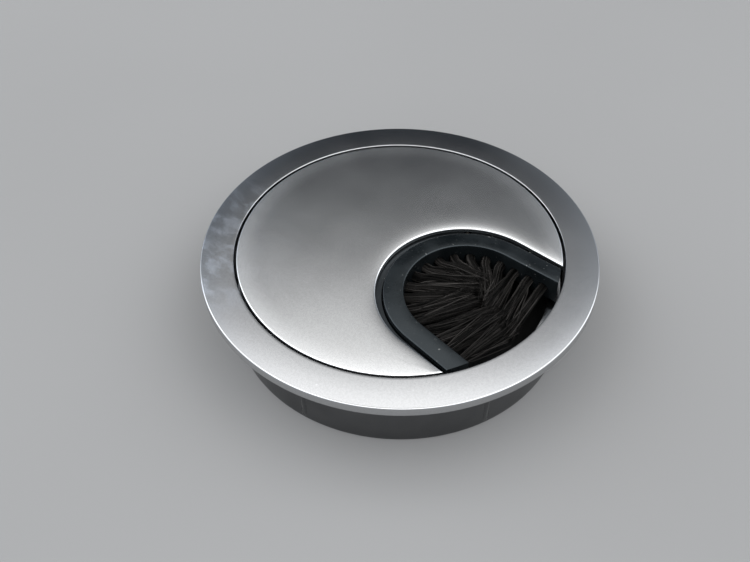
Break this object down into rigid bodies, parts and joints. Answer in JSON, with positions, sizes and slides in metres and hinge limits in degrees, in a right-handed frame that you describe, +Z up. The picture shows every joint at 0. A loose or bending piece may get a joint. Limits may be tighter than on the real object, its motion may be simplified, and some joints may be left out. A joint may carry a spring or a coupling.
{
  "type": "desk grommet",
  "caption": "Round metal desk grommet: a flanged ring for a desk hole, with a turning cover whose U-shaped cable outlet is closed by a tufted brush.",
  "frame": {"origin": "centre of the barrel's bottom rim, on the grommet's axis", "axes": "+Z up along the grommet's axis, through the flange; +X through the middle of the cable opening"},
  "size_m": [0.092, 0.092, 0.0202],
  "materials": {
    "ring_metal": "satin nickel plate on a zinc casting",
    "cover_metal": "satin nickel plate on a zinc casting",
    "carrier_plastic": "black moulded plastic, matte",
    "block_plastic": "black moulded plastic, matte, slightly dusty",
    "screw_steel": "zinc-plated steel",
    "bristle_nylon": "dark grey-brown nylon bristle with a slight sheen"
  },
  "bodies": {
    "ring": {"outer_ring": "ring_metal"},
    "brush_carrier": {"carrier": "carrier_plastic", "brush_block": "block_plastic", "block_screw_1": "screw_steel", "block_screw_2": "screw_steel", "block_screw_3": "screw_steel", "block_screw_4": "screw_steel", "bristle_tuft_01": "bristle_nylon", "bristle_tuft_02": "bristle_nylon", "bristle_tuft_03": "bristle_nylon", "bristle_tuft_04": "bristle_nylon", "bristle_tuft_05": "bristle_nylon", "bristle_tuft_06": "bristle_nylon", "bristle_tuft_07": "bristle_nylon", "bristle_tuft_08": "bristle_nylon", "bristle_tuft_09": "bristle_nylon", "bristle_tuft_10": "bristle_nylon", "bristle_tuft_11": "bristle_nylon", "bristle_tuft_12": "bristle_nylon", "bristle_tuft_13": "bristle_nylon", "bristle_tuft_14": "bristle_nylon", "bristle_tuft_15": "bristle_nylon", "bristle_tuft_16": "bristle_nylon", "bristle_tuft_17": "bristle_nylon", "bristle_tuft_18": "bristle_nylon"},
    "cover": {"cover_plate": "cover_metal"}
  },
  "joints": [
    {"name": "cover_turn", "type": "hinge", "parent": "ring", "child": "brush_carrier", "pos_m": [0, 0, 0], "axis": [0, 0, 1], "continuous": true},
    {"name": "cover_lift", "type": "slide", "parent": "brush_carrier", "child": "cover", "axis": [0, 0, 1], "range_m": [0, 0.03]}
  ]
}
